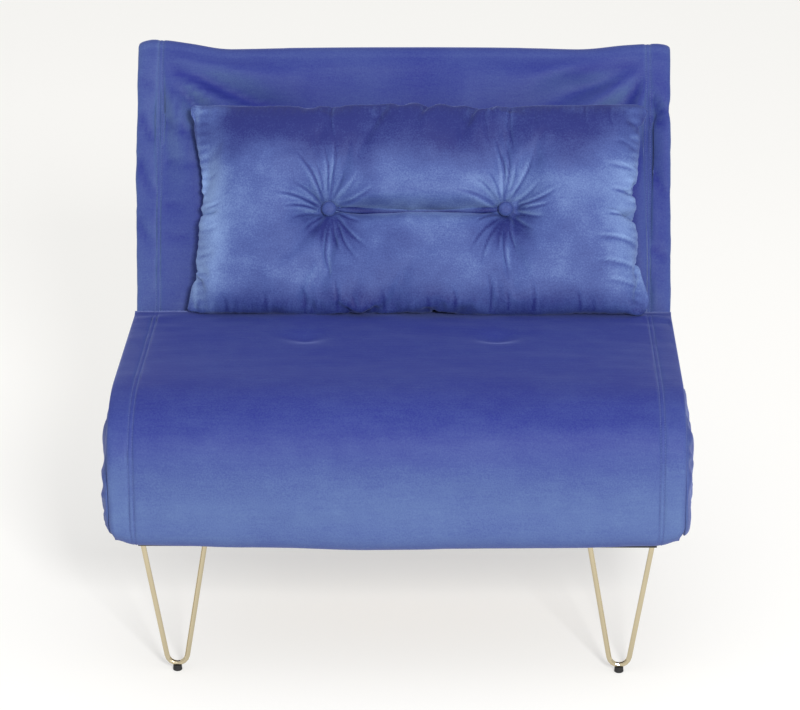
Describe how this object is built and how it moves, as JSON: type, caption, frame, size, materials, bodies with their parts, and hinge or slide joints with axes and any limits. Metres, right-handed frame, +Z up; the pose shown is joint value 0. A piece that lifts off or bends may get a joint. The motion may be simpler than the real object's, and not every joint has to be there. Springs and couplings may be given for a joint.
{
  "type": "futon sofa bed",
  "caption": "Single-seat velvet futon sofa bed: flip-out seat, reclining backrest, loose buttoned pillow and hairpin legs on a steel frame.",
  "frame": {"origin": "centre of the bounding box at floor level, under the seat", "axes": "+Z up, -Y is the front of the seat, +X to the sitter's left as seen from the front on the right"},
  "size_m": [0.9, 0.7536, 0.8094],
  "materials": {
    "velvet": "blue short-pile velvet",
    "pillow_velvet": "blue short-pile velvet",
    "foam": "cut polyurethane foam",
    "fibre": "polyester fibre filling",
    "steel": "black powder coat",
    "brass": "polished pale gold plate",
    "rubber": "matt black rubber",
    "wood": "plain beech slats",
    "zinc": "zinc plate"
  },
  "bodies": {
    "backrest": {"back_arm_left": "steel", "back_arm_right": "steel", "back_cover": "velvet", "back_foam": "foam", "back_frame": "steel", "back_slat_1": "wood", "back_slat_2": "wood"},
    "base": {"base_front_rail": "steel", "base_rear_rail": "steel", "base_side_rail_left": "steel", "base_side_rail_right": "steel", "base_slat_1": "wood", "base_slat_2": "wood", "base_slat_3": "wood", "base_slat_4": "wood", "flip_hinge_base_left": "steel", "flip_hinge_base_right": "steel", "front_fold": "velvet", "front_foot_left": "rubber", "front_foot_right": "rubber", "front_leg_left": "brass", "front_leg_plate_left": "steel", "front_leg_plate_right": "steel", "front_leg_right": "brass", "lower_cover": "velvet", "lower_foam": "foam", "pivot_bracket_left": "steel", "pivot_bracket_right": "steel", "pivot_pin_left": "zinc", "pivot_pin_right": "zinc", "rear_foot_left": "rubber", "rear_foot_right": "rubber", "rear_leg_left": "brass", "rear_leg_plate_left": "steel", "rear_leg_plate_right": "steel", "rear_leg_right": "brass", "side_roll_left": "velvet", "side_roll_right": "velvet"},
    "seat": {"flip_hinge_seat_left": "steel", "flip_hinge_seat_right": "steel", "seat_cover": "velvet", "seat_foam_bottom": "foam", "seat_foam_top": "foam", "seat_frame": "steel"},
    "pillow": {"pillow_button_left": "pillow_velvet", "pillow_button_right": "pillow_velvet", "pillow_cover": "pillow_velvet", "pillow_filling": "fibre"},
    "support_slide_frame": {"support_cross_bar": "steel", "support_runner_left": "steel", "support_runner_right": "steel"},
    "support_leg_hoop": {"support_leg": "steel", "support_leg_tip_left": "rubber", "support_leg_tip_right": "rubber"}
  },
  "joints": [
    {"name": "seat_flip", "type": "hinge", "parent": "base", "child": "seat", "pos_m": [0, -0.31232, 0.3295], "axis": [1, 0, 0], "range_deg": [0, 179], "deforming": ["front_fold", "pillow_cover", "pillow_filling", "pillow_button_left", "pillow_button_right"]},
    {"name": "backrest_recline", "type": "hinge", "parent": "base", "child": "backrest", "pos_m": [0, 0.05067, 0.3], "axis": [-1, 0, 0], "range_deg": [0, 62]},
    {"name": "pillow_drop", "type": "slide", "parent": "backrest", "child": "pillow", "axis": [0, -0.4695, -0.8829], "range_m": [0, 0.13]},
    {"name": "support_slide", "type": "slide", "parent": "base", "child": "support_slide_frame", "axis": [0, -1, 0], "range_m": [0, 0.38]},
    {"name": "support_leg_fold", "type": "hinge", "parent": "support_slide_frame", "child": "support_leg_hoop", "pos_m": [0, -0.26733, 0.184], "axis": [-1, 0, 0], "range_deg": [0, 90]}
  ],
  "couplings": [
    {"joint": "pillow_drop", "follows": "seat_flip", "m_per_rad": 0.034}
  ]
}
